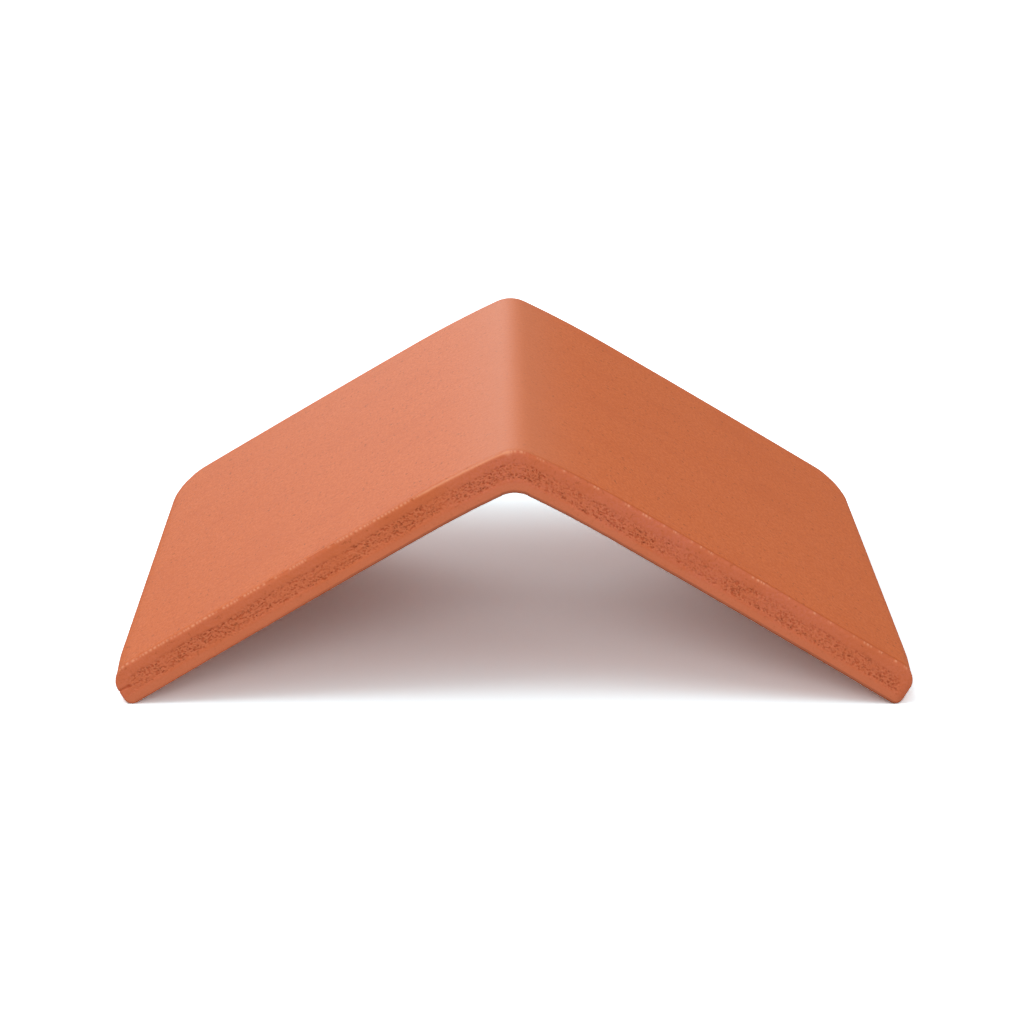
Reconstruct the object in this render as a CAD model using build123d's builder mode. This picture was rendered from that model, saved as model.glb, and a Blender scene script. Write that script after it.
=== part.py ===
"""Angle tile of fired clay: two wings that meet at a rounded ridge, pressed and fired as one piece.

Sizes are in millimetres. X runs across the tile, Y along its length from the near end to the far end,
and Z up. The tile stands unheld on its toes, the lower rounds of its two free edges. The origin is on
that floor, under the middle of the ridge.
"""

from build123d import *
import os
from math import asin, atan, cos, radians, sin

# Overall form. The wing's width runs along its outer face from the sharp apex, where the two outer
# faces would meet, to the free edge. The apex angle lies between the wings below their shoulders.
length = 300
wing_width = 175
thickness = 15
apex_angle = 118.3

# The bend at the ridge: a round at the apex, inside and outside, and beside it a long, gentle shoulder
# where each wing flattens towards the ridge
ridge_radius = 14
inner_ridge_radius = 11
shoulder_width = 48
shoulder_radius = 490

# Rise of the wing's outer face above a straight line from its shoulder to its free edge
wing_camber = 0.25

# Rounding of the arrises along the free edges and the far end, of the outer face and of the hollow
# side, and of the sharper near end
edge_radius = 6
toe_radius = 4
near_arris_radius = 1

# Rounded corners of the far end, a quarter of an ellipse in the plane of each wing
corner_along = 34
corner_across = 16

# Slopes of the outer face. The camber turns the wing by the same angle either side of its mean slope,
# and the shoulder takes it on to its flattest at the sharp apex.
flat_width = wing_width - shoulder_width
mean_slope = radians((180 - apex_angle) / 2)
camber_turn = 2 * atan(2 * wing_camber / flat_width)
edge_slope = mean_slope + camber_turn
shoulder_slope = mean_slope - camber_turn
apex_slope = shoulder_slope - shoulder_width / shoulder_radius


def down(slope):
    """Direction on down the right wing where its outer face has this slope."""
    return Vector(cos(slope), -sin(slope))


def through(slope):
    """Direction through the right wing to its hollow side."""
    return Vector(-sin(slope), -cos(slope))


# The sharp apex stands at the height that puts the toe's round of each free edge on the floor.
shoulder_drop = shoulder_radius * (cos(apex_slope) - cos(shoulder_slope))
round_rise = toe_radius * (sin(edge_slope) + cos(edge_slope) - 1)
face_drop = shoulder_drop + flat_width * sin(mean_slope)
apex = Vector(0, face_drop + thickness * cos(edge_slope) - round_rise)

# Corners of the right wing's section. The hollow side's arcs share the outer arcs' centres.
shoulder_centre = apex + through(apex_slope) * shoulder_radius
shoulder = shoulder_centre - through(shoulder_slope) * shoulder_radius
wing_tip = shoulder + down(mean_slope) * flat_width
wing_toe = wing_tip + through(edge_slope) * thickness
shoulder_toe = shoulder + through(shoulder_slope) * thickness
inner_apex_slope = asin(-shoulder_centre.X / (shoulder_radius - thickness))
inner_apex = shoulder_centre - through(inner_apex_slope) * (shoulder_radius - thickness)

# Clay that is cut off at the far corners, drawn in the plane of the outer face at the free edge, with
# its local X on down the wing and its local Y along the tile. It reaches past the edges and both faces.
corner_plane = Plane(
    origin=(wing_tip.X, length / 2, wing_tip.Y),
    x_dir=(down(edge_slope).X, 0, down(edge_slope).Y),
    z_dir=(-through(edge_slope).X, 0, -through(edge_slope).Y),
)
with BuildPart() as corner_waste:
    with BuildSketch(corner_plane):
        with BuildLine():
            corner_curve = EllipticalCenterArc(
                center=(-corner_across, -corner_along),
                x_radius=corner_across,
                y_radius=corner_along,
                start_angle=0,
                arc_size=90,
            )
            Polyline(
                corner_curve @ 0,
                (corner_across, -corner_along),
                (corner_across, corner_along),
                (-corner_across, corner_along),
                corner_curve @ 1,
            )
        make_face()
    extrude(amount=2 * thickness, both=True)
    mirror(about=Plane.YZ)


def corner_arrises():
    """The curved arrises of the far corners, those of the hollow side first."""
    corner_faces = angle_tile.faces().filter_by(GeomType.EXTRUSION)
    return corner_faces.edges().filter_by(GeomType.LINE, reverse=True).sort_by(Axis.Z)


with BuildPart() as angle_tile:
    with BuildSketch(Plane.XZ.offset(length / 2)) as section:
        with BuildLine():
            RadiusArc(apex, shoulder, shoulder_radius)
            outer_face = SagittaArc(shoulder, wing_tip, wing_camber)
            Line(wing_tip, wing_toe)
            RadiusArc(wing_toe, shoulder_toe, thickness - outer_face.radius)
            RadiusArc(shoulder_toe, inner_apex, thickness - shoulder_radius)
            Line(inner_apex, apex)
        make_face()
        mirror(about=Plane.YZ)
        fillet(section.vertices().sort_by_distance(apex)[0], ridge_radius)
        fillet(section.vertices().sort_by_distance(inner_apex)[0], inner_ridge_radius)
    extrude(amount=-length)
    add(corner_waste.part, mode=Mode.SUBTRACT)

    # Each round runs on from the corners' curves, along the free edges and across the far end.
    fillet(corner_arrises()[-2:], edge_radius)
    fillet(corner_arrises()[:2], toe_radius)
    near_end = angle_tile.faces().sort_by(Axis.Y)[0]
    fillet(near_end.edges(), near_arris_radius)

angle_tile.part.label = "angle_tile"

os.makedirs("parts", exist_ok=True)
export_step(angle_tile.part, "parts/angle_tile.step")

box = angle_tile.part.bounding_box()
print(f"angle tile: {box.size.X:.1f} wide, {box.size.Y:.1f} long, {box.size.Z:.1f} high")
print(f"stands from Z {box.min.Z:.3f}, volume {angle_tile.part.volume / 1e6:.3f} litres")
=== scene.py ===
# %% [markdown]
# # A fired clay angle tile
# The real tile starts as one flat bat of clay. It is bent over a former into two wings, its outer face is
# sanded, its near end is cut with a wire while the clay is stiff, and then it is fired to a terracotta red.
# This scene follows the same order: a flat bat, its relief, the bend, the finishes, and then the studio.
# The imported tile is loaded first and kept, and its skin is used to measure how far the visual tile lies
# from it. The visual tile has to stay inside it.

# %% Load the imported tile
import math

import bpy
import numpy as np
from mathutils import Matrix, Vector
from mathutils.bvhtree import BVHTree


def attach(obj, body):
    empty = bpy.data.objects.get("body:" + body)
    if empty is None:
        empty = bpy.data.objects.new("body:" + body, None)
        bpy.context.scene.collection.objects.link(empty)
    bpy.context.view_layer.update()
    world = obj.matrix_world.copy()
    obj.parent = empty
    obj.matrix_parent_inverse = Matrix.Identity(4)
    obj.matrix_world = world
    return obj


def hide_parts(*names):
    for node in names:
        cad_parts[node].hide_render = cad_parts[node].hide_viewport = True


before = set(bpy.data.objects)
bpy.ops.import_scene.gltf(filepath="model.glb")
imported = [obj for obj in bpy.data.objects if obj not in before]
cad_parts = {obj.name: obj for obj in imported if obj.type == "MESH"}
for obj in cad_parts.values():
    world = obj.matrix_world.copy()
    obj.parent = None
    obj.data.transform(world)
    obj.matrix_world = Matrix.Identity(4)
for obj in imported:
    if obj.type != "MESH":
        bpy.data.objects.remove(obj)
bpy.context.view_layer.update()
cad_skin = BVHTree.FromObject(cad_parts["angle_tile"], bpy.context.evaluated_depsgraph_get())

# %% [markdown]
# ## The sizes of the tile
# These are the sizes that the solid was built with. The wing's width runs along its outer face from the
# sharp apex, where the two outer faces would meet, to the free edge.

# %% Sizes of the tile
MM = 0.001
LENGTH = 300 * MM
WING_WIDTH = 175 * MM
THICKNESS = 15 * MM
APEX_ANGLE = 118.3
RIDGE_RADIUS = 14 * MM
INNER_RIDGE_RADIUS = 11 * MM
SHOULDER_WIDTH = 48 * MM
SHOULDER_RADIUS = 490 * MM
WING_CAMBER = 0.25 * MM
EDGE_RADIUS = 6 * MM
TOE_RADIUS = 4 * MM
NEAR_ARRIS = 1 * MM
CORNER_ALONG = 34 * MM
CORNER_ACROSS = 16 * MM
print(f"the tile is {LENGTH / MM:.0f} mm long and {THICKNESS / MM:.0f} mm thick")

# %% [markdown]
# ## The section of the tile
# The section is a chain of arcs. A short arc rounds the ridge, a long one beside it is the shoulder where
# the wing flattens, and the wing itself bows by a quarter of a millimetre. The inner face has arcs about
# the same centres, apart from its own ridge arc. A point of the clay is then named by two lengths: how far
# it lies from the ridge along the outer face, and how deep it lies in the clay. Arcs with known centres
# were chosen over a curve object with a bevel, because relief can then be cut to a known depth.

# %% Slopes and centres of the arcs
flat_width = WING_WIDTH - SHOULDER_WIDTH
mean_slope = math.radians((180 - APEX_ANGLE) / 2)
camber_turn = 2 * math.atan(2 * WING_CAMBER / flat_width)
edge_slope = mean_slope + camber_turn
shoulder_slope = mean_slope - camber_turn
apex_slope = shoulder_slope - SHOULDER_WIDTH / SHOULDER_RADIUS
wing_radius = WING_CAMBER / 2 + flat_width**2 / (8 * WING_CAMBER)


def through(slope):
    """Direction through the right wing, x and z, where its outer face has this slope."""
    return np.array([-math.sin(slope), -math.cos(slope)])


round_rise = TOE_RADIUS * (math.sin(edge_slope) + math.cos(edge_slope) - 1)
shoulder_drop = SHOULDER_RADIUS * (math.cos(apex_slope) - math.cos(shoulder_slope))
face_drop = shoulder_drop + flat_width * math.sin(mean_slope)
apex = np.array([0, face_drop + THICKNESS * math.cos(edge_slope) - round_rise])
shoulder_centre = apex + through(apex_slope) * SHOULDER_RADIUS
shoulder = shoulder_centre - through(shoulder_slope) * SHOULDER_RADIUS
wing_centre = shoulder + through(shoulder_slope) * wing_radius


def ridge_arc(radius, face_radius):
    """Slope where the ridge's arc meets the shoulder's arc, and the centre of the ridge's arc."""
    turn = math.asin(-shoulder_centre[0] / (face_radius - radius))
    return turn, shoulder_centre - through(turn) * (face_radius - radius)


outer_turn, outer_centre = ridge_arc(RIDGE_RADIUS, SHOULDER_RADIUS)
inner_turn, inner_centre = ridge_arc(INNER_RIDGE_RADIUS, SHOULDER_RADIUS - THICKNESS)
ridge_half = RIDGE_RADIUS * outer_turn
shoulder_half = ridge_half + SHOULDER_RADIUS * (shoulder_slope - outer_turn)
half_width = shoulder_half + wing_radius * (edge_slope - shoulder_slope)
print(f"from the ridge to each free edge the outer face is {half_width / MM:.1f} mm long")

# %% [markdown]
# ## Bending the bat
# The potter lays the flat bat over a former, and its two halves sag to the slope. The same is done here
# with numbers: the distance from the ridge gives the slope of the outer face, and the slope gives a point
# on the outer and one on the inner arc. Clay between the two faces lies on the straight line between these
# points. A modifier could bend a mesh too, but not along three arcs of different radius.

# %% Bend the flat bat into the section


def slope_at(run):
    """Slope of the outer face this far from the ridge, measured along the face."""
    stops = [0, ridge_half, shoulder_half, half_width]
    return np.interp(run, stops, [0, outer_turn, shoulder_slope, edge_slope])


def face_point(slope, turn, arcs):
    """Point of a face, x and z, where it has this slope. Its arcs are the ridge's, shoulder's and wing's."""
    which = np.where(slope < turn, 0, np.where(slope < shoulder_slope, 1, 2))
    centres = np.array([centre for centre, _ in arcs])[which]
    radius = np.array([r for _, r in arcs])[which]
    return centres[:, 0] + radius * np.sin(slope), centres[:, 1] + radius * np.cos(slope)


outer_arcs = [(outer_centre, RIDGE_RADIUS), (shoulder_centre, SHOULDER_RADIUS), (wing_centre, wing_radius)]
inner_arcs = [
    (inner_centre, INNER_RIDGE_RADIUS),
    (shoulder_centre, SHOULDER_RADIUS - THICKNESS),
    (wing_centre, wing_radius - THICKNESS),
]


def bend(across, deep):
    """Place in the section, x and z, of clay that lies so far across the flat bat and so deep in it."""
    slope = slope_at(np.abs(across))
    outer_x, outer_z = face_point(slope, outer_turn, outer_arcs)
    inner_x, inner_z = face_point(slope, inner_turn, inner_arcs)
    share = deep / THICKNESS
    x = outer_x + (inner_x - outer_x) * share
    return np.copysign(1.0, across) * x, outer_z + (inner_z - outer_z) * share


ridge_height = bend(np.zeros(1), np.zeros(1))[1][0]
print(f"the bent bat is {ridge_height / MM:.1f} mm high at its ridge")

# %% [markdown]
# ## The outline of the flat bat
# Seen from above, the flat bat is a rectangle whose two far corners are rounded to a quarter of an ellipse.
# Its rim is softened by a round of 6 mm outside and 4 mm on the hollow side, so the faces drop away near
# the rim by an amount that depends only on how far the rim is. The distance is exact along the straight
# edges, and near the corners it is taken to the nearest of many points of the ellipse.

# %% Half width and rim distance
ARC_POINTS = 400
corner_start = LENGTH / 2 - CORNER_ALONG
quarter = np.linspace(0, math.pi / 2, ARC_POINTS)
corner_s = half_width - CORNER_ACROSS + CORNER_ACROSS * np.cos(quarter)
corner_y = corner_start + CORNER_ALONG * np.sin(quarter)


def half_width_at(y):
    """Half the bat's width at a place along it."""
    past = np.clip((y - corner_start) / CORNER_ALONG, 0, 1)
    return half_width - CORNER_ACROSS * (1 - np.sqrt(1 - past**2))


def rim_distance(across, y):
    """Distance to the free edges and the far end, no more than the rim's round."""
    run = np.abs(across)
    distance = np.minimum(half_width - run, LENGTH / 2 - y)
    near_corner = (y > corner_start - EDGE_RADIUS) & (run > half_width - CORNER_ACROSS - EDGE_RADIUS)
    gap_s = run[near_corner][:, None] - corner_s[None, :]
    gap_y = y[near_corner][:, None] - corner_y[None, :]
    to_corner = np.sqrt(gap_s**2 + gap_y**2).min(axis=1)
    distance[near_corner] = np.minimum(distance[near_corner], to_corner)
    return np.clip(distance, 0, EDGE_RADIUS)


def round_drop(distance, radius):
    """How far a round has dropped below the flat of a face, at this distance from the rim."""
    inside = radius - np.clip(distance, 0, radius)
    return radius - np.sqrt(np.clip(radius**2 - inside**2, 0, None))


far_width = 2 * half_width_at(LENGTH / 2)
print(f"the bat is {2 * half_width / MM:.1f} mm wide, and {far_width / MM:.1f} mm at its far end")

# %% [markdown]
# ## A mesh that is fine only where the relief is
# The torn near end needs a vertex every 0.4 mm, and the wings need far fewer. A remesh of the whole tile at
# the finer size would cost over a million faces. So the skin is made of closed loops round the section, one
# after another along the tile. A loop runs along the columns of the outer face, down the right wall, back
# along the inner face and up the left wall. Columns stand closest in the rounds at the free edges.

# %% Columns and loops
ROUND_COLUMNS = 24
FLAT_COLUMNS = 832
COLUMNS = FLAT_COLUMNS + 2 * ROUND_COLUMNS
ARRIS_ROWS = 5
SMOOTH_ROWS = 6
TORN_ROWS = 34
DEPTH_ROWS = 2 * ARRIS_ROWS + 2 * SMOOTH_ROWS + TORN_ROWS
LOOP_POINTS = 2 * COLUMNS + 2 * DEPTH_ROWS


def eased(count, radius):
    """Steps from 0 to radius that are finest at 0, where a round is steepest."""
    return radius * (1 - np.cos(np.linspace(0, math.pi / 2, count + 1)))


round_steps = eased(ROUND_COLUMNS, EDGE_RADIUS)
flat_steps = np.linspace(EDGE_RADIUS, 2 * half_width - EDGE_RADIUS, FLAT_COLUMNS + 1)[1:-1]
columns = np.concatenate([round_steps, flat_steps, 2 * half_width - round_steps[::-1]]) - half_width
depth_share = np.linspace(0, 1, DEPTH_ROWS + 1)


def loop(y, step):
    """Closed loop of bat coordinates at one place along the tile, with every step-th point kept."""
    across = columns * half_width_at(y) / half_width
    distance = rim_distance(across, np.full_like(across, y))
    outer = round_drop(distance, EDGE_RADIUS)
    inner = THICKNESS - round_drop(distance, TOE_RADIUS)
    wall = outer[0] + (inner[0] - outer[0]) * depth_share[1:-1]
    right = np.full_like(wall, across[-1])
    left = np.full_like(wall, across[0])
    s = np.concatenate([across, right, across[::-1], left])
    deep = np.concatenate([outer, wall, inner[::-1], wall[::-1]])
    return np.column_stack([s, np.full_like(s, y), deep])[::step]


print(f"a full loop has {LOOP_POINTS} points")

# %% [markdown]
# ## Where the loops stand
# The first loops, behind the arris of the near end, carry the end's full count of points. After them the
# count is halved, and a little further on it is halved again. Along the plain wings a loop every few
# millimetres is enough, and they close up again where the far corners and the far end are rounded.

# %% Places of the loops
EVERY, SECOND, FOURTH = 1, 2, 4
FINE_ROWS = np.array([0, 0.4, 0.9, 1.6, 2.4]) * MM
MIDDLE_ROWS = np.array([3.4, 4.6, 6.0]) * MM
LONG_FROM = 8 * MM
LONG_ROW = 5.5 * MM
CORNER_ROWS = 20

near_y = -LENGTH / 2 + NEAR_ARRIS
long_start = near_y + LONG_FROM
long_rows = np.linspace(long_start, corner_start, round((corner_start - long_start) / LONG_ROW))
far_rows = LENGTH / 2 - eased(CORNER_ROWS, CORNER_ALONG)[::-1][1:]
stations = [(near_y + row, EVERY) for row in FINE_ROWS]
stations += [(near_y + row, SECOND) for row in MIDDLE_ROWS]
stations += [(row, FOURTH) for row in np.concatenate([long_rows, far_rows])]
print(f"{len(stations)} loops, the first of {LOOP_POINTS} points and the last of {LOOP_POINTS // FOURTH}")

# %% [markdown]
# ## Joining the loops
# The skin is the tile's two faces and its free edges. Two loops of the same count are joined by quads, and
# where the count is halved, each pair of short sides meets one long side in three triangles. Faces written
# one by one like this leave no gaps and no stray edges.

# %% Join the loops into a skin
bat = []
faces = []
starts = []


def first_free_index():
    """Index that the next vertex of the bat will have."""
    return sum(len(part) for part in bat)


def join_equal(first, second, count):
    """A band of quads between two loops of the same count."""
    for i in range(count):
        j = (i + 1) % count
        faces.append((first + i, first + j, second + j, second + i))


def join_halved(first, second, count):
    """A band of triangles from a loop of twice the count to one of the count."""
    for i in range(count):
        j = (i + 1) % count
        left = first + 2 * i
        middle = left + 1
        right = first + (2 * i + 2) % (2 * count)
        faces.append((left, middle, second + i))
        faces.append((middle, second + j, second + i))
        faces.append((middle, right, second + j))


for y, step in stations:
    starts.append(first_free_index())
    bat.append(loop(y, step))
for k in range(len(stations) - 1):
    count = len(bat[k + 1])
    joiner = join_equal if len(bat[k]) == count else join_halved
    joiner(starts[k], starts[k + 1], count)
print(f"the skin has {len(faces)} faces")

# %% [markdown]
# ## A grid for each end
# An end is a grid of the same columns as the loop round it, and its border is that loop. Each column runs
# from the outer face to the inner one. A fan or one large face would be simpler, but the relief needs
# many vertices inside the end.

# %% Fill a loop with a grid


def cap(first, step, loop_coordinates, inner_rows, place_y, flip):
    """Fill a loop with a grid of faces. place_y says how far along the tile each point lies."""
    across_count = COLUMNS // step
    down_count = DEPTH_ROWS // step
    size = len(loop_coordinates)
    outer = [first + i for i in range(across_count + 1)]
    right = [first + across_count + i for i in range(down_count + 1)]
    inner = [first + across_count + down_count + i for i in range(across_count + 1)][::-1]
    left = [first + (size - i) % size for i in range(down_count + 1)]
    grid = np.zeros((across_count + 1, down_count + 1), int)
    grid[:, 0], grid[:, -1] = outer, inner
    grid[0, :], grid[-1, :] = left, right
    own = np.arange((across_count - 1) * (down_count - 1)).reshape(across_count - 1, down_count - 1)
    grid[1:-1, 1:-1] = first_free_index() + own
    top = loop_coordinates[1:across_count]
    bottom = loop_coordinates[across_count + down_count + 1 : 2 * across_count + down_count][::-1]
    s = np.repeat(top[:, 0], down_count - 1)
    share = np.tile(inner_rows, across_count - 1)
    outer_deep = np.repeat(top[:, 2], down_count - 1)
    deep = outer_deep + (np.repeat(bottom[:, 2], down_count - 1) - outer_deep) * share
    bat.append(np.column_stack([s, place_y(s, deep), deep]))
    for i in range(across_count):
        for j in range(down_count):
            quad = (grid[i, j], grid[i, j + 1], grid[i + 1, j + 1], grid[i + 1, j])
            faces.append(quad[::-1] if flip else quad)


print(f"the near end will be a grid of {COLUMNS} by {DEPTH_ROWS} faces")

# %% [markdown]
# ## The near and the far end
# At the near end the rim is an arris of only 1 mm, rounded in the same way as the rest: the grid sinks
# behind the cut plane by an amount that depends on the distance to the section's outline. Its rows stand
# closest in the arris and in the torn band. The far end is plain.

# %% Cap the near and far ends
TORN_FROM = 4 * MM
TORN_TO = 11 * MM


def outline_distance(across, deep):
    """Distance from a point of an end face to the outline of the section, measured inward."""
    radius = np.where(deep < THICKNESS / 2, EDGE_RADIUS, TOE_RADIUS)
    out_s = np.abs(across) - (half_width - radius)
    out_n = np.maximum(-deep, deep - THICKNESS) + radius
    outside = np.hypot(np.maximum(out_s, 0), np.maximum(out_n, 0))
    return radius - outside - np.minimum(np.maximum(out_s, out_n), 0)


def near_plane(across, deep):
    """The near end's plane with its small arris."""
    inside = NEAR_ARRIS - np.clip(outline_distance(across, deep), 0, NEAR_ARRIS)
    return -LENGTH / 2 + NEAR_ARRIS - np.sqrt(np.clip(NEAR_ARRIS**2 - inside**2, 0, None))


def far_plane(across, deep):
    """The far end's plane, the same for every point."""
    return np.full_like(across, LENGTH / 2)


arris_rows = eased(ARRIS_ROWS, NEAR_ARRIS)
upper_rows = np.linspace(NEAR_ARRIS, TORN_FROM, SMOOTH_ROWS + 1)[1:]
torn_rows = np.linspace(TORN_FROM, TORN_TO, TORN_ROWS + 1)[1:]
lower_rows = np.linspace(TORN_TO, THICKNESS - NEAR_ARRIS, SMOOTH_ROWS + 1)[1:]
last_rows = THICKNESS - arris_rows[::-1][1:-1]
near_rows = np.concatenate([arris_rows[1:], upper_rows, torn_rows, lower_rows, last_rows]) / THICKNESS
near_first_face = len(faces)
cap(starts[0], EVERY, bat[0], near_rows, near_plane, flip=False)
near_faces = range(near_first_face, len(faces))
far_rows_inside = depth_share[::FOURTH][1:-1]
cap(starts[-1], FOURTH, bat[len(stations) - 1], far_rows_inside, far_plane, flip=True)
bat = np.vstack(bat)
print(f"{len(bat)} vertices and {len(faces)} faces, before any relief")

# %% [markdown]
# ## Noise for the relief
# Torn clay is irregular, but it has to come out the same at each run. So each cell of a grid gets a number
# from a hash of its place, and soft noise runs smoothly from one cell's number to the next. Plain arrays
# are faster here than a displacement texture, and the same numbers serve again as masks for the finish.

# %% Hashed and soft noise
COLUMN_FACTOR = 374761393
ROW_FACTOR = 668265263
SEED_FACTOR = 2147483647
MIX_FACTOR = 1274126177
LOW_32_BITS = 0xFFFFFFFF
LOW_24_BITS = 0xFFFFFF


def hashed(column, row, seed):
    """A repeatable number from 0 to 1 for each cell of a grid."""
    mixed = column.astype(np.int64) * COLUMN_FACTOR + row.astype(np.int64) * ROW_FACTOR
    mixed = (mixed + seed * SEED_FACTOR) & LOW_32_BITS
    mixed = ((mixed ^ (mixed >> 13)) * MIX_FACTOR) & LOW_32_BITS
    return ((mixed ^ (mixed >> 16)) & LOW_24_BITS) / LOW_24_BITS


def soft_noise(u, v, seed):
    """Smooth noise from 0 to 1 with features about one unit wide."""
    column, row = np.floor(u), np.floor(v)
    fu, fv = u - column, v - row
    fu, fv = fu * fu * (3 - 2 * fu), fv * fv * (3 - 2 * fv)
    low = hashed(column, row, seed) * (1 - fu) + hashed(column + 1, row, seed) * fu
    high = hashed(column, row + 1, seed) * (1 - fu) + hashed(column + 1, row + 1, seed) * fu
    return low * (1 - fv) + high * fv


def layered_noise(u, v, seed, layers=3):
    """Several sizes of soft noise added up, still from 0 to 1."""
    total = np.zeros_like(u)
    weight = 0
    for layer in range(layers):
        total += soft_noise(u * 2**layer, v * 2**layer, seed + layer) / 2**layer
        weight += 1 / 2**layer
    return total / weight


trial = layered_noise(np.linspace(0, 50, 500), np.zeros(500), seed=0)
print(f"along a line the noise runs from {trial.min():.2f} to {trial.max():.2f}")

# %% [markdown]
# ## The torn band
# The wire drags the stiff clay as it cuts. Near the outer and the inner face it leaves a smooth band, and
# between them it tears the clay. The torn band wanders up and down a little and is rougher in some places.
# The wire's fine marks follow the outline, so they swirl round the outer corners.

# %% Where the end is torn
ROUGH_FROM = 4.4 * MM
ROUGH_TO = 10.6 * MM
WANDER = 1.8 * MM
SWIRL = 9 * MM


def ramp(low, high, value):
    """0 below low, 1 above high, and a smooth rise between."""
    t = np.clip((value - low) / (high - low), 0, 1)
    return t * t * (3 - 2 * t)


def flow(s, deep):
    """Depth of the clay as the wire's marks follow it: they swirl round the outer corner of each wing."""
    out_s = np.abs(s) - (half_width - SWIRL)
    out_n = SWIRL - deep
    outside = np.hypot(np.maximum(out_s, 0), np.maximum(out_n, 0))
    return SWIRL - outside - np.minimum(np.maximum(out_s, out_n), 0)


def torn_mask(s, deep):
    """Where the cut end is torn rather than smooth, from 0 to 1."""
    wander = WANDER * (layered_noise(s / (16 * MM), s * 0, seed=11) - 0.5)
    path = flow(s, deep) + wander
    upper = ramp(ROUGH_FROM - 0.5 * MM, ROUGH_FROM + 0.7 * MM, path)
    lower = 1 - ramp(ROUGH_TO - 0.8 * MM, ROUGH_TO + 0.4 * MM, deep + wander)
    patches = ramp(0.28, 0.58, layered_noise(s / (8 * MM), deep / (3.5 * MM), seed=21))
    return upper * lower * (0.55 + 0.45 * patches)


s, y, deep = bat.T
behind = y + LENGTH / 2
on_end = 1 - ramp(0.25 * NEAR_ARRIS, NEAR_ARRIS, behind)
torn = torn_mask(s, deep) * on_end
print(f"{np.count_nonzero(torn > 0.5)} vertices lie in the torn band")

# %% [markdown]
# ## Pits
# Where the wire pulls a crumb out, it leaves a pit with a raised rim. The pits are long and lie at all
# angles. Each cell of a grid may hold one, at its own place and with its own turn and size. A pit can reach
# into the next cells, so a point looks for the nearest pit in the nine cells round it.

# %% Pits and their rims
PIT_PITCH = 1.3 * MM
PIT_SHARE = 0.95
NO_PIT = 9.0
PIT_TURN = 2.2
PIT_LEAN = 0.35
PIT_RADIUS = 0.16
PIT_SPREAD = 0.3
PIT_LONG = 1.5
PIT_SHORT = 0.75
RIM_AT = 1.3
RIM_WIDTH = 0.3


def nearest_pit(u, v, seed):
    """How far off the nearest pit is: 0 in its middle and 1 at its rim."""
    nearest = np.full_like(u, NO_PIT)
    column, row = np.floor(u), np.floor(v)
    for du in (-1, 0, 1):
        for dv in (-1, 0, 1):
            c, r = column + du, row + dv
            from_u = u - c - hashed(c, r, seed)
            from_v = v - r - hashed(c, r, seed + 1)
            turn = PIT_TURN * (hashed(c, r, seed + 4) - PIT_LEAN)
            radius = PIT_RADIUS + PIT_SPREAD * hashed(c, r, seed + 2)
            long_way = (from_u * np.cos(turn) + from_v * np.sin(turn)) / (PIT_LONG * radius)
            short_way = (from_v * np.cos(turn) - from_u * np.sin(turn)) / (PIT_SHORT * radius)
            there = hashed(c, r, seed + 3) < PIT_SHARE
            nearest = np.minimum(nearest, np.where(there, np.hypot(long_way, short_way), NO_PIT))
    return nearest


def falloff(distance, width):
    """1 at no distance, and falling off softly on both sides within about this width."""
    return np.exp(-((distance / width) ** 2))


pit_distance = nearest_pit((s + 0.4 * deep) / PIT_PITCH, deep / (0.8 * PIT_PITCH), seed=31)
hollow = np.sqrt(np.clip(1 - pit_distance**2, 0, 1))
rim = falloff(pit_distance - RIM_AT, RIM_WIDTH)
print(f"pits take up {np.mean(hollow[torn > 0.5] > 0):.0%} of the torn band")

# %% [markdown]
# ## How deep the torn band is
# The relief is worked out as a depth below the cut plane: the pits, the crumbs between them, and the fine
# marks and slow swells that the whole end has. Only clay is taken away, so the tile never grows past its
# real size. Real vertices move, so the pits throw real shadows.

# %% Depth of the torn end
TORN_DROP = 0.12 * MM
PIT_DEPTH = 0.55 * MM
CRUMB_DEPTH = 0.3 * MM
RIM_HEIGHT = 0.1 * MM
DRAG_DEPTH = 0.05 * MM
SWELL_DEPTH = 0.1 * MM

crumb = layered_noise(s / (1.1 * MM), deep / (0.9 * MM), seed=51)
rough = TORN_DROP + PIT_DEPTH * hollow + CRUMB_DEPTH * crumb * (1 - hollow) - RIM_HEIGHT * rim
drag = layered_noise(s / (7 * MM), flow(s, deep) / (0.5 * MM), seed=61)
swell = layered_noise(s / (14 * MM), deep / (5 * MM), seed=71)
smooth = DRAG_DEPTH * drag + SWELL_DEPTH * swell
end_depth = smooth * on_end + rough * torn
print(f"the torn end is up to {end_depth.max() / MM:.2f} mm deep")

# %% [markdown]
# ## Beads and bites along the cut arris
# Where the wire leaves the clay it drags a row of small burrs along the outer arris, and the clay between
# them crumbles. Left of the ridge the burrs run together into a line that ends in a larger one, and on the
# right wing there are few. The lower arris is only a little worn. Both are bites out of the arris, as deep
# as a noise along the edge says, so what is left between two bites stands up as a bead.

# %% Beads and bites along the near arrises
BEAD_PITCH = 1.6 * MM
LINE_FROM = -36 * MM
BURR_AT = -2.5 * MM
BITE_REACH = 0.8 * MM
LOWER_REACH = 1 * MM
LOWER_SHARE = 0.5
BITE_DEPTH = 0.26 * MM
BEAD_HEIGHT = 0.24 * MM
CHIP_DEPTH = 0.25 * MM


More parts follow.
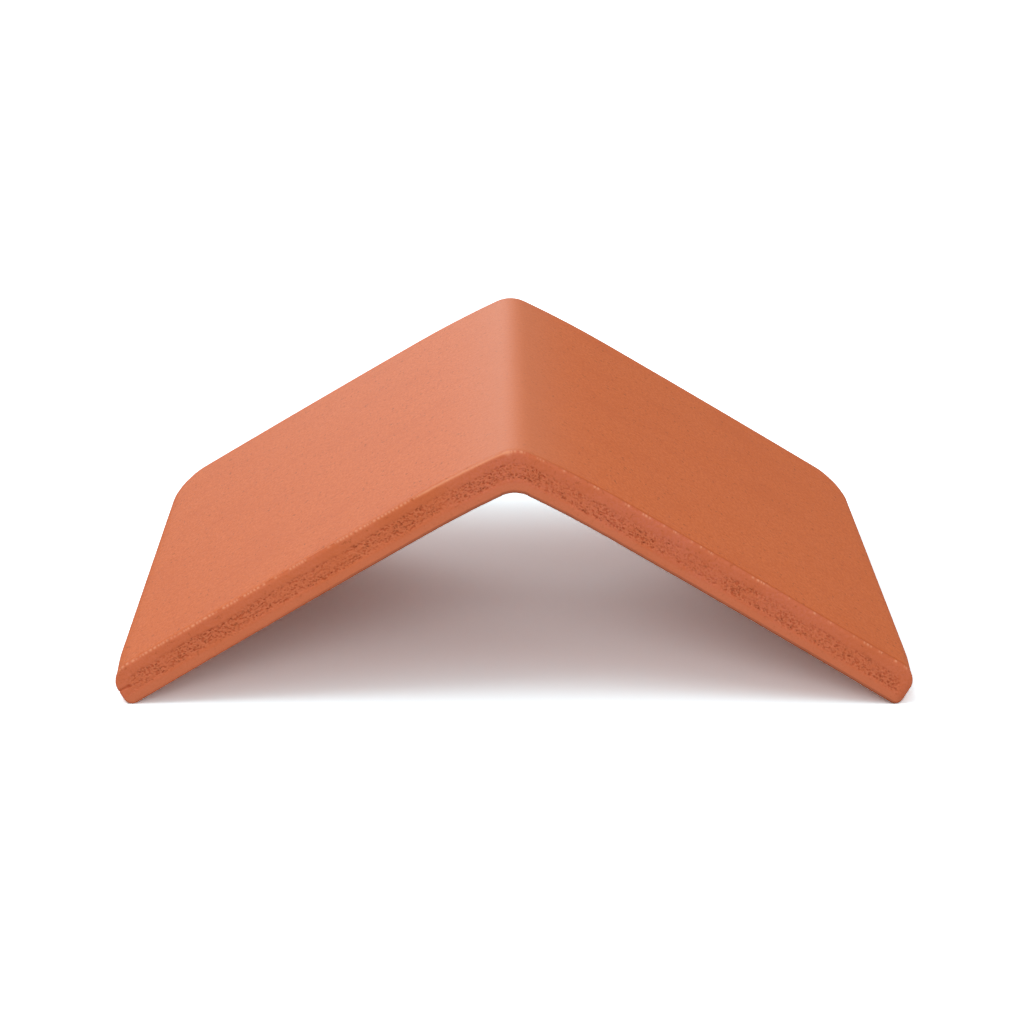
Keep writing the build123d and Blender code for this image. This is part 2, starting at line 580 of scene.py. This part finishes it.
def bead_row(s):
    """The row of burrs along the outer arris, 1 on a bead and 0 between two."""
    jitter = 1.2 * BEAD_PITCH * soft_noise(s / (1.7 * BEAD_PITCH), s * 0, seed=83)
    row = 0.5 + 0.5 * np.cos(2 * math.pi * (s + jitter) / BEAD_PITCH)
    fewer = 0.45 * ramp(0, 15 * MM, s)
    kept = ramp(0.12 + fewer, 0.45 + fewer, soft_noise(s / (1.4 * BEAD_PITCH), s * 0, seed=81))
    line = 0.8 * ramp(LINE_FROM - 8 * MM, LINE_FROM, s) * (1 - ramp(BURR_AT, BURR_AT + 2 * MM, s))
    return np.maximum(row * kept, line)


def arris_bite(s):
    """How much of the outer arris is worn away between the beads that the wire left."""
    chips = ramp(0.62, 0.85, soft_noise(s / (6 * MM), s * 0, seed=91))
    return BITE_DEPTH - BEAD_HEIGHT * bead_row(s) + CHIP_DEPTH * chips


bite = arris_bite(s) * falloff(np.hypot(deep, behind), BITE_REACH)
elsewhere = s + LENGTH
lower_bite = LOWER_SHARE * arris_bite(elsewhere) * falloff(np.hypot(THICKNESS - deep, behind), LOWER_REACH)
print(f"the arrises are bitten away by up to {bite.max() / MM:.2f} and {lower_bite.max() / MM:.2f} mm")

# %% [markdown]
# ## Worn near corners
# The two corners of the cut end are knocked and rubbed when tiles are stacked, so the end turns back by a
# few millimetres there, more on the right, and the outer round is larger. Both are plain formulas of the
# distances to the free edge and to the end.

# %% Wear of the near corners
LEFT_WEAR = 1.2 * MM
RIGHT_WEAR = 3.5 * MM
WEAR_REACH = 16 * MM
CORNER_ROUND = 8 * MM
ROUND_REACH = 30 * MM

from_edge = half_width - np.abs(s)
left_side = s < 0
corner_wear = round_drop(from_edge, np.where(left_side, LEFT_WEAR, RIGHT_WEAR))
corner_wear *= 1 - ramp(0, WEAR_REACH, behind)
outer_drop = round_drop(from_edge, EDGE_RADIUS)
wall_end = THICKNESS - TOE_RADIUS
outer_share = np.clip((wall_end - deep) / (wall_end - outer_drop), 0, 1)
rounder = round_drop(from_edge, CORNER_ROUND) - outer_drop
rounder *= outer_share * (1 - ramp(0, ROUND_REACH, behind))
print(f"the near corners turn back by up to {corner_wear.max() / MM:.1f} mm")

# %% [markdown]
# ## The crease at the left corner
# At the left corner a crease in the clay, with a pit at its end, runs in from the free edge, a little
# deeper into the clay the further it gets. It is a soft valley about a straight line, cut into the end and
# for a few millimetres into the free edge behind it.

# %% Crease and pit of the left corner
CREASE_DEEP = 6.7 * MM
CREASE_DIP = 0.23
CREASE_LONG = 6 * MM
CREASE_WIDTH = 0.4 * MM
CREASE_DEPTH = 0.5 * MM
SIDE_DEPTH = 0.4 * MM
CORNER_PIT_AT = 4.6 * MM
CORNER_PIT_WIDTH = 0.6 * MM
CORNER_PIT_DEPTH = 0.8 * MM

crease_off = deep - CREASE_DEEP - CREASE_DIP * from_edge
crease_end = 1 - ramp(0.5 * CREASE_LONG, CREASE_LONG, from_edge)
crease = falloff(crease_off, CREASE_WIDTH) * crease_end * left_side
corner_pit = falloff(np.hypot(crease_off, from_edge - CORNER_PIT_AT), CORNER_PIT_WIDTH) * left_side
crease_depth = (CREASE_DEPTH * crease + CORNER_PIT_DEPTH * corner_pit) * on_end
on_side = (1 - ramp(0, 4 * MM, behind)) * (1 - ramp(0, 1.5 * MM, from_edge))
side_crease = SIDE_DEPTH * crease * on_side
print(f"the crease is up to {crease_depth.max() / MM:.2f} mm deep")

# %% [markdown]
# ## Slow waves in the wings
# A bat of clay is never quite flat. The faces get slow waves of a tenth of a millimetre, which only show as
# soft changes of tone. They fade out at the rim, so the tile still stands on its free edges. The wire also
# leaves a shallow groove on the outer face, just behind the cut arris.

# %% Waves and groove
WAVE = 0.1 * MM
WAVE_WIDE = 70 * MM
WAVE_LONG = 90 * MM
GROOVE = 0.18 * MM
GROOVE_AT = 2 * MM
GROOVE_WIDTH = 0.8 * MM
GROOVE_FADE = 12 * MM

inward = 1 - 2 * deep / THICKNESS
off_edges = ramp(EDGE_RADIUS, 6 * EDGE_RADIUS, half_width_at(y) - np.abs(s))
off_far_end = ramp(0, 3 * EDGE_RADIUS, LENGTH / 2 - y)
waves = WAVE * layered_noise(s / WAVE_WIDE + 7, y / WAVE_LONG + 3, seed=101, layers=2)
waves *= off_edges * off_far_end * inward
outer_half = deep < THICKNESS / 2
groove = falloff(behind - GROOVE_AT, GROOVE_WIDTH) * outer_half * ramp(0, GROOVE_FADE, from_edge)
print(f"the waves are up to {np.abs(waves).max() / MM:.2f} mm deep")

# %% [markdown]
# ## Moving the clay and bending it
# All the relief is added while the bat is still flat, each part as a move across, along or into the clay.
# Only then is the bat bent, so a pit or a groove keeps its depth on the slope.

# %% Make the mesh
shaped_s = s - np.sign(s) * side_crease
shaped_y = y + end_depth + bite + lower_bite + crease_depth + corner_wear
shaped_deep = deep + waves + bite - lower_bite + rounder + GROOVE * groove
x, z = bend(shaped_s, shaped_deep)

tile_mesh = bpy.data.meshes.new("terracotta_tile")
tile_mesh.from_pydata(np.column_stack([x, shaped_y, z]).tolist(), [], faces)
tile_mesh.validate()
tile_mesh.polygons.foreach_set("use_smooth", [True] * len(tile_mesh.polygons))
tile = bpy.data.objects.new("terracotta_tile", tile_mesh)
bpy.context.scene.collection.objects.link(tile)
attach(tile, "root")
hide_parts("angle_tile")
print(f"the tile has {sum(len(p.vertices) - 2 for p in tile_mesh.polygons)} triangles")

# %% [markdown]
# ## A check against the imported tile
# The relief must not change the tile's form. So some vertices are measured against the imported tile's skin.
# The largest gap should be in the crease. Half of the vertices are on the cut end, so the mean gap comes
# mostly from the relief there.

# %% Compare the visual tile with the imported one
SAMPLE_STEP = 37
sample = [tile_mesh.vertices[i].co for i in range(0, len(bat), SAMPLE_STEP)]
gaps = [cad_skin.find_nearest(place)[3] / MM for place in sample]
print(f"the skin lies at most {max(gaps):.2f} mm from the packed tile, on average {np.mean(gaps):.3f} mm")

# %% [markdown]
# ## Masks for the finish
# The finish needs to know where the clay is torn, how deep a pit is and where its rim lies, which bit of
# the arris is a bead, where the groove, the inner band and the lowest edge run, and how near the ridge is.
# The pits, the groove and the lowest edge get painted shade, and the rims, the beads and the ridge a painted
# highlight. Each is a value from 0 to 1, stored on the vertices and read by the materials.

# %% Store the masks
RIDGE_SHEEN_WIDTH = 20 * MM
BEAD_SIZE = 0.55 * MM
BURR_EXTRA = 0.7 * MM
BEAD_DEEP = 0.1 * MM
BEAD_BEHIND = 0.3 * MM

toe = ramp(THICKNESS - 1.5 * MM, THICKNESS - 0.9 * MM, deep)
lower_edge = toe * (1 - ramp(NEAR_ARRIS, 2 * NEAR_ARRIS, behind))
bead_size = BEAD_SIZE + BURR_EXTRA * falloff(s - BURR_AT, 1.2 * MM)
from_bead = np.hypot(deep - BEAD_DEEP, behind - BEAD_BEHIND)
masks = {
    "torn": torn,
    # painted shade in the pits, the crease and the corner pit
    "pit": np.clip(torn * hollow + crease * on_end + corner_pit * on_end, 0, 1),
    # painted highlight on the rims of the pits
    "rim": torn * rim,
    # painted highlight on the beads
    "bead": bead_row(s) * falloff(from_bead, bead_size),
    # painted shade in the groove
    "groove": groove * ramp(-10 * MM, 30 * MM, s),
    "inner": ramp(ROUGH_TO, ROUGH_TO + 1.2 * MM, deep) * on_end,
    # painted shade along the lowest edge
    "under": lower_edge * ramp(-140 * MM, -40 * MM, s),
    # painted highlight along the ridge
    "ridge_sheen": falloff(s, RIDGE_SHEEN_WIDTH) * outer_half,
}
for name, values in masks.items():
    layer = tile_mesh.attributes.new(name, "FLOAT", "POINT")
    layer.data.foreach_set("value", values.astype(np.float32))
print("masks:", ", ".join(masks))

# %% [markdown]
# ## A group for the clay's colour
# Fired clay is not one colour. The kiln's flame leaves soft clouds, lighter and pinker or deeper and more
# orange, and the sand in the clay shows as specks. The faces and the cut end share these effects, so they
# are one node group with its own inputs, and each material gives it other values. The same nodes could be
# copied into both materials, but then each change has to be made twice.

# %% Kiln colour group


def add_node(tree, kind, **settings):
    """Add a node and set its properties."""
    node = tree.nodes.new(kind)
    for name, value in settings.items():
        setattr(node, name, value)
    return node


def new_group(name, inputs, outputs):
    """A shader node group with named sockets, and its input and output nodes."""
    group = bpy.data.node_groups.new(name, "ShaderNodeTree")
    for socket, kind, value in inputs:
        made = group.interface.new_socket(socket, in_out="INPUT", socket_type=kind)
        made.default_value = value
    for socket, kind in outputs:
        group.interface.new_socket(socket, in_out="OUTPUT", socket_type=kind)
    return group, add_node(group, "NodeGroupInput"), add_node(group, "NodeGroupOutput")


kiln_colour, kiln_in, kiln_out = new_group(
    "kiln_colour",
    [
        ("Clay", "NodeSocketColor", (0.6, 0.2, 0.1, 1)),
        ("Pale", "NodeSocketColor", (0.7, 0.3, 0.2, 1)),
        ("Deep", "NodeSocketColor", (0.5, 0.15, 0.07, 1)),
        ("Clouds", "NodeSocketFloat", 0.5),
        ("Specks", "NodeSocketFloat", 0.5),
    ],
    [("Color", "NodeSocketColor")],
)
print(f"{kiln_colour.name} is a group of {len(kiln_colour.nodes)} nodes so far")

# %% [markdown]
# ## Clouds from noise
# The kiln's clouds are soft noise. It is taken over the tile's own coordinates, so it stays with the clay
# when the tile is moved, and no unwrapped image is needed. Its range is stretched, because raw noise rarely
# leaves the middle greys.

# %% Clouds of the kiln


def fill(node, **values):
    """Set a node's inputs by name, with _ for a space."""
    for name, value in values.items():
        node.inputs[name.replace("_", " ")].default_value = value
    return node


def noise_at(tree, scale, detail=3.0, roughness=0.5, stretch=(1, 1, 1)):
    """Noise over the tile's own coordinates, in metres, with features about 1 / scale wide."""
    where = add_node(tree, "ShaderNodeTexCoord").outputs["Object"]
    mapping = add_node(tree, "ShaderNodeMapping")
    mapping.inputs["Scale"].default_value = stretch
    tree.links.new(where, mapping.inputs["Vector"])
    node = fill(add_node(tree, "ShaderNodeTexNoise"), Scale=scale, Detail=detail, Roughness=roughness)
    tree.links.new(mapping.outputs[0], node.inputs["Vector"])
    return node.outputs["Fac"]


def stretch_range(tree, value, low, high, to_low=0.0, to_high=1.0):
    """Map a socket's range low to high onto another, clamped."""
    node = add_node(tree, "ShaderNodeMapRange")
    fill(node, From_Min=low, From_Max=high, To_Min=to_low, To_Max=to_high)
    tree.links.new(value, node.inputs["Value"])
    return node.outputs["Result"]


pale_clouds = stretch_range(kiln_colour, noise_at(kiln_colour, scale=14, detail=2.0), 0.35, 0.65)
deep_clouds = stretch_range(kiln_colour, noise_at(kiln_colour, scale=33), 0.5, 0.75)
print(f"{kiln_colour.name} has {len(kiln_colour.nodes)} nodes, with its clouds")

# %% [markdown]
# ## Tones laid over one another
# The colour is built up in layers: each tone lies over what is there, where its own noise says. A colour
# ramp would be shorter, but it ties all the tones to one noise. A mix node keeps sockets for numbers,
# vectors and colours side by side, and the numbers below are the places of its factor and its colours.

# %% Lay the tones of the clouds
FACTOR_SOCKET, FIRST_SOCKET, SECOND_SOCKET, MIXED_SOCKET = 0, 6, 7, 2


def feed(tree, socket, value):
    """Link another node's socket to this one, or set this one to a plain value."""
    if hasattr(value, "links"):
        tree.links.new(value, socket)
    else:
        socket.default_value = value


def mix_colours(tree, factor, first, second):
    """Mix two colours, each a socket or a colour, and return the result's socket."""
    node = add_node(tree, "ShaderNodeMix", data_type="RGBA")
    feed(tree, node.inputs[FACTOR_SOCKET], factor)
    feed(tree, node.inputs[FIRST_SOCKET], first)
    feed(tree, node.inputs[SECOND_SOCKET], second)
    return node.outputs[MIXED_SOCKET]


def calculate(tree, how, first, second):
    """One step of arithmetic on sockets or numbers."""
    node = add_node(tree, "ShaderNodeMath", operation=how)
    feed(tree, node.inputs[0], first)
    feed(tree, node.inputs[1], second)
    return node.outputs[0]


def lay_tone(tree, colour, mask, strength, tone):
    """Mix a tone into a colour where a mask says, times a strength."""
    return mix_colours(tree, calculate(tree, "MULTIPLY", mask, strength), colour, tone)


deep_clay = kiln_in.outputs["Deep"]
cloudy = kiln_in.outputs["Clouds"]
clouded = lay_tone(kiln_colour, kiln_in.outputs["Clay"], pale_clouds, cloudy, kiln_in.outputs["Pale"])
clouded = lay_tone(kiln_colour, clouded, deep_clouds, cloudy, deep_clay)
print(f"{kiln_colour.name} has {len(kiln_colour.nodes)} nodes, with the clouds' tones")

# %% [markdown]
# ## Grain, specks and streaks
# The sand in the clay shows as a fine grain, rare peaks of noise give dark specks of burnt sand, and longer
# peaks give streaks. The grain is drawn out along the tile, the way the bat was rubbed, and the streaks
# run across it.

# %% Grain and specks in the kiln colour
BURNT_SAND = (0.3, 0.07, 0.02, 1)
sandy = kiln_in.outputs["Specks"]
grain = noise_at(kiln_colour, scale=1000, roughness=0.6, stretch=(1, 0.4, 1))
grained = lay_tone(kiln_colour, clouded, stretch_range(kiln_colour, grain, 0.35, 0.65), sandy, deep_clay)
specks = noise_at(kiln_colour, scale=700, detail=2.0, stretch=(1, 0.5, 1))
dark_specks = stretch_range(kiln_colour, specks, 0.64, 0.72, to_high=0.7)
specked = lay_tone(kiln_colour, grained, dark_specks, sandy, BURNT_SAND)
streaks = noise_at(kiln_colour, scale=260, roughness=0.6, stretch=(0.3, 1, 1))
deep_streaks = stretch_range(kiln_colour, streaks, 0.56, 0.7, to_high=0.6)
streaked = lay_tone(kiln_colour, specked, deep_streaks, sandy, deep_clay)
kiln_colour.links.new(streaked, kiln_out.inputs["Color"])
print(f"{kiln_colour.name} has {len(kiln_colour.nodes)} nodes when it is finished")

# %% [markdown]
# ## Sand
# This group puts out a height for bump: the sand that was rubbed on the faces, in a coarse and a fine
# grain. It is too small for vertices, and no outline shows it.

# %% Sand grain group
sand_grain, sand_in, sand_out = new_group(
    "sand_grain",
    [("Coarse", "NodeSocketFloat", 0.5), ("Fine", "NodeSocketFloat", 0.5)],
    [("Height", "NodeSocketFloat")],
)
coarse_noise = noise_at(sand_grain, scale=420, detail=2.0)
fine_noise = noise_at(sand_grain, scale=1500, roughness=0.65)
coarse = calculate(sand_grain, "MULTIPLY", coarse_noise, sand_in.outputs["Coarse"])
fine = calculate(sand_grain, "MULTIPLY", fine_noise, sand_in.outputs["Fine"])
sand_grain.links.new(calculate(sand_grain, "ADD", coarse, fine), sand_out.inputs["Height"])
print(f"{sand_grain.name} has {len(sand_grain.nodes)} nodes")

# %% [markdown]
# ## The finest crumbs
# The torn band also has crumbs smaller than the mesh can carry: the larger pits there are real geometry.
# Small cells with a hollow in each, gathered in patches by a noise, look like crumbs that the wire pulled
# out. The group also gives the hollows as a mask, so that the material can paint shade into them.

# %% Torn crumbs group
torn_crumbs, crumbs_in, crumbs_out = new_group(
    "torn_crumbs",
    [("Torn", "NodeSocketFloat", 0.5)],
    [("Height", "NodeSocketFloat"), ("Hollow", "NodeSocketFloat")],
)
cells = fill(add_node(torn_crumbs, "ShaderNodeTexVoronoi"), Scale=1150.0, Randomness=1.0)
own_place = add_node(torn_crumbs, "ShaderNodeTexCoord").outputs["Object"]
torn_crumbs.links.new(own_place, cells.inputs["Vector"])
cell_hollow = stretch_range(torn_crumbs, cells.outputs["Distance"], 0.12, 0.42, to_low=1.0, to_high=0.0)
gathered = stretch_range(torn_crumbs, noise_at(torn_crumbs, scale=420, detail=2.0), 0.44, 0.56)
kept_hollow = calculate(torn_crumbs, "MULTIPLY", cell_hollow, gathered)
hollow_share = calculate(torn_crumbs, "MULTIPLY", kept_hollow, crumbs_in.outputs["Torn"])
sunk = calculate(torn_crumbs, "MULTIPLY", hollow_share, -1.0)
torn_crumbs.links.new(sunk, crumbs_out.inputs["Height"])
torn_crumbs.links.new(hollow_share, crumbs_out.inputs["Hollow"])
print(f"{torn_crumbs.name} has {len(torn_crumbs.nodes)} nodes")

# %% [markdown]
# ## Two finishes of one clay
# The sanded faces are pale, and the cut end shows the clay's deeper body colour. Both are a plain
# Principled shader with next to no gloss, because unglazed clay is rough all over, and a glossier one turns
# pink where the lamp behind glances off it. One function makes both, so they differ only in their values.

# %% Start the sanded clay
ROUGHNESS = 0.6
GLOSS = 0.05


def clay_material(name, clay, pale, deep_tone, cloud, speck, coarse_grain, fine_grain):
    """A matte clay finish: its tree, its shader, and the sockets of its colour and grain height."""
    material = bpy.data.materials.new(name)
    material.use_nodes = True
    tree = material.node_tree
    shader = fill(tree.nodes["Principled BSDF"], Roughness=ROUGHNESS)
    shader.inputs["Specular IOR Level"].default_value = GLOSS
    colour = add_node(tree, "ShaderNodeGroup", node_tree=kiln_colour)
    fill(colour, Clay=clay, Pale=pale, Deep=deep_tone, Clouds=cloud, Specks=speck)
    grain = add_node(tree, "ShaderNodeGroup", node_tree=sand_grain)
    fill(grain, Coarse=coarse_grain, Fine=fine_grain)
    return material, tree, shader, colour.outputs["Color"], grain.outputs["Height"]


sanded, tree, shader, colour, height = clay_material(
    "sanded_clay",
    clay=(0.65, 0.155, 0.04, 1),
    pale=(0.66, 0.168, 0.048, 1),
    deep_tone=(0.56, 0.118, 0.028, 1),
    cloud=0.4,
    speck=0.8,
    coarse_grain=0.6,
    fine_grain=0.5,
)
print(f"{sanded.name} has {len(tree.nodes)} nodes to begin with")

# %% [markdown]
# ## The sanded faces
# Most of the tile is this finish. Along the ridge it gets a paler, pinker painted highlight, and the groove
# behind the cut arris gets a painted shade of deeper orange on the right wing. The painted highlight on the
# beads of the arris and the painted shade on the lowest edge lie partly on each finish, so both finishes get
# the same tones there.

# %% Finish the sanded clay
SAND_BUMP = 0.25 * MM
# Painted highlight on the beads of the upper arris.
BEAD_HIGHLIGHT = (0.82, 0.36, 0.2, 1)
# Painted shade along the lowest edge of the cut end.
UNDER_EDGE_SHADE = (0.3, 0.09, 0.045, 1)


def tint(tree, colour, mask_name, strength, tone):
    """Mix a tone into a colour where a stored vertex mask says."""
    stored = add_node(tree, "ShaderNodeAttribute", attribute_name=mask_name).outputs["Fac"]
    return lay_tone(tree, colour, stored, strength, tone)


def tint_arrises(tree, colour):
    """The painted highlight on the beads of the upper arris and the painted shade on the lower one, which
    both finishes share.
    """
    beaded = tint(tree, colour, "bead", 0.8, BEAD_HIGHLIGHT)
    return tint(tree, beaded, "under", 0.6, UNDER_EDGE_SHADE)


def add_bump(tree, shader, height, depth):
    """Turn a height socket into the shader's normal. A height of 1 stands this many metres out."""
    bump = fill(add_node(tree, "ShaderNodeBump"), Strength=1.0, Distance=depth)
    tree.links.new(height, bump.inputs["Height"])
    tree.links.new(bump.outputs["Normal"], shader.inputs["Normal"])


# Painted highlight along the ridge, paler and pinker than the wings.
colour = tint(tree, colour, "ridge_sheen", 0.6, (0.61, 0.19, 0.085, 1))
# Painted shade in the groove behind the cut arris, on the right wing.
colour = tint(tree, colour, "groove", 0.75, (0.45, 0.08, 0.018, 1))
colour = tint_arrises(tree, colour)
tree.links.new(colour, shader.inputs["Base Color"])
add_bump(tree, shader, height, SAND_BUMP)
print(f"{sanded.name} has {len(tree.nodes)} nodes when it is finished")

# %% [markdown]
# ## The cut end
# The same clay, but torn. The pits are deep, and a painted shade in them helps the geometry there, and
# their rims get a paler painted highlight. The lowest edge gets the darkest painted shade.

# %% Cut clay
CUT_BUMP = 0.3 * MM
cut, tree, shader, colour, height = clay_material(
    "cut_clay",
    clay=(0.57, 0.152, 0.064, 1),
    pale=(0.565, 0.15, 0.088, 1),
    deep_tone=(0.52, 0.124, 0.042, 1),
    cloud=0.9,
    speck=0.6,
    coarse_grain=0.5,
    fine_grain=0.7,
)
crumbs = add_node(tree, "ShaderNodeGroup", node_tree=torn_crumbs)
torn_here = add_node(tree, "ShaderNodeAttribute", attribute_name="torn").outputs["Fac"]
tree.links.new(torn_here, crumbs.inputs["Torn"])
# Painted shade in the small hollows of the torn crumbs.
colour = lay_tone(tree, colour, crumbs.outputs["Hollow"], 0.45, (0.38, 0.065, 0.02, 1))
colour = tint(tree, colour, "inner", 0.6, (0.55, 0.16, 0.075, 1))
# Painted highlight on the raised rims of the pits.
colour = tint(tree, colour, "rim", 0.6, (0.66, 0.2, 0.095, 1))
# Painted shade in the pits, the crease and the corner pit.
colour = tint(tree, colour, "pit", 0.45, (0.4, 0.065, 0.018, 1))
colour = tint_arrises(tree, colour)
tree.links.new(colour, shader.inputs["Base Color"])
add_bump(tree, shader, calculate(tree, "ADD", height, crumbs.outputs["Height"]), CUT_BUMP)
print(f"{cut.name} has {len(tree.nodes)} nodes")

# %% [markdown]
# ## Which face has which finish
# The cap of the near end was built last but one, so its faces are known by number. All others are sanded.

# %% Give the faces their finish
CUT_SLOT = 1
tile_mesh.materials.append(sanded)
tile_mesh.materials.append(cut)
for i in near_faces:
    tile_mesh.polygons[i].material_index = CUT_SLOT
print("materials:", [m.name for m in tile_mesh.materials])

# %% [markdown]
# ## The floor
# The tile stands on a plain white floor. Only the camera sees it brighter, so the open floor reaches white
# while the shade under the arch stays, and the tile itself is lit by a floor of ordinary white.

# %% Floor
FLOOR_SIZE = 12.0
LIT_WHITE = (0.65, 0.65, 0.65, 1)
SEEN_WHITE = (1.52, 1.75, 1.83, 1)

edge = FLOOR_SIZE / 2
floor_corners = [(-edge, -edge, 0), (edge, -edge, 0), (edge, edge, 0), (-edge, edge, 0)]
floor_mesh = bpy.data.meshes.new("floor")
floor_mesh.from_pydata(floor_corners, [], [(0, 1, 2, 3)])
floor = bpy.data.objects.new("floor", floor_mesh)
bpy.context.scene.collection.objects.link(floor)

floor_finish = bpy.data.materials.new("white_floor")
floor_finish.use_nodes = True
tree = floor_finish.node_tree
shader = fill(tree.nodes["Principled BSDF"], Roughness=0.9)
shader.inputs["Specular IOR Level"].default_value = 0.0
seen = add_node(tree, "ShaderNodeLightPath").outputs["Is Camera Ray"]
floor_tone = mix_colours(tree, seen, LIT_WHITE, SEEN_WHITE)
tree.links.new(floor_tone, shader.inputs["Base Color"])
floor_mesh.materials.append(floor_finish)
print(f"the floor is {FLOOR_SIZE:.0f} m wide")

# %% [markdown]
# ## The room
# The photograph has soft light from all round and a pure white background. So the room is an even white
# that lights the tile with two thirds of its strength, and only the camera sees it at full white.

# %% Room light
ROOM_STRENGTH = 0.64
world = bpy.data.worlds.new("pale_room")
bpy.context.scene.world = world
world.use_nodes = True
tree = world.node_tree
room = fill(tree.nodes["Background"], Color=(1, 1, 1, 1), Strength=ROOM_STRENGTH)
white = fill(add_node(tree, "ShaderNodeBackground"), Color=(1, 1, 1, 1), Strength=1.0)
choose = add_node(tree, "ShaderNodeMixShader")
tree.links.new(add_node(tree, "ShaderNodeLightPath").outputs["Is Camera Ray"], choose.inputs["Fac"])
tree.links.new(room.outputs[0], choose.inputs[1])
tree.links.new(white.outputs[0], choose.inputs[2])
tree.links.new(choose.outputs[0], tree.nodes["World Output"].inputs["Surface"])
print(f"the room lights the tile at {ROOM_STRENGTH} of white")

# %% [markdown]
# ## The lamps
# The photograph also has a stronger lamp to the upper left, and light from behind that glances off the left
# wing and the ridge. So three large, soft lamps stand left, in front and behind, all turned to the tile.
# Large lamps were chosen because the photograph has no sharp shadows.

# %% Three soft lamps
TILE_MIDDLE = Vector((0, 0, 0.05))


def soft_lamp(name, place, size, watts):
    """A square area lamp at a place, turned to the tile."""
    data = bpy.data.lights.new(name, "AREA")
    data.energy = watts
    data.size = size
    lamp = bpy.data.objects.new(name, data)
    lamp.location = place
    lamp.rotation_euler = (TILE_MIDDLE - Vector(place)).to_track_quat("-Z", "Y").to_euler()
    bpy.context.scene.collection.objects.link(lamp)
    print(f"{name} gives {watts} W")


soft_lamp("key_lamp", place=(-0.7, -0.4, 1.8), size=1.2, watts=10.5)
soft_lamp("front_lamp", place=(0.05, -2.4, 0.8), size=1.2, watts=20)
soft_lamp("back_lamp", place=(-0.5, 2.3, 0.85), size=1.0, watts=21)

# %% [markdown]
# ## The camera
# The photograph was taken from in front and a little above, with a long lens. The camera's place, turn and
# focal length come from fitting the tile's real section to the outline in the picture, whose width is 1024
# pixels.

# %% Camera
IMAGE_WIDTH = 1024
FOCAL_PIXELS = 3667.7
SENSOR = 36.0
CLIP_END = 50
YAW, PITCH, ROLL = math.radians(0.379), math.radians(14.277), math.radians(0.127)

camera_place = Vector((-9.7, -1457.4, 406.7)) * MM
camera_data = bpy.data.cameras.new("camera")
camera_data.sensor_width = SENSOR
camera_data.lens = FOCAL_PIXELS * SENSOR / IMAGE_WIDTH
camera_data.clip_end = CLIP_END
camera = bpy.data.objects.new("camera", camera_data)
forward = Vector((math.sin(YAW) * math.cos(PITCH), math.cos(YAW) * math.cos(PITCH), -math.sin(PITCH)))
level = Vector((math.cos(YAW), -math.sin(YAW), 0))
upright = level.cross(forward)
right = math.cos(ROLL) * level + math.sin(ROLL) * upright
up = math.cos(ROLL) * upright - math.sin(ROLL) * level
turn = Matrix((right, up, -forward)).transposed()
camera.matrix_world = Matrix.Translation(camera_place) @ turn.to_4x4()
bpy.context.scene.collection.objects.link(camera)
bpy.context.scene.camera = camera
bpy.context.scene.view_settings.view_transform = "Standard"
print(f"camera at {[round(v, 3) for v in camera_place]} with a {camera_data.lens:.0f} mm lens")
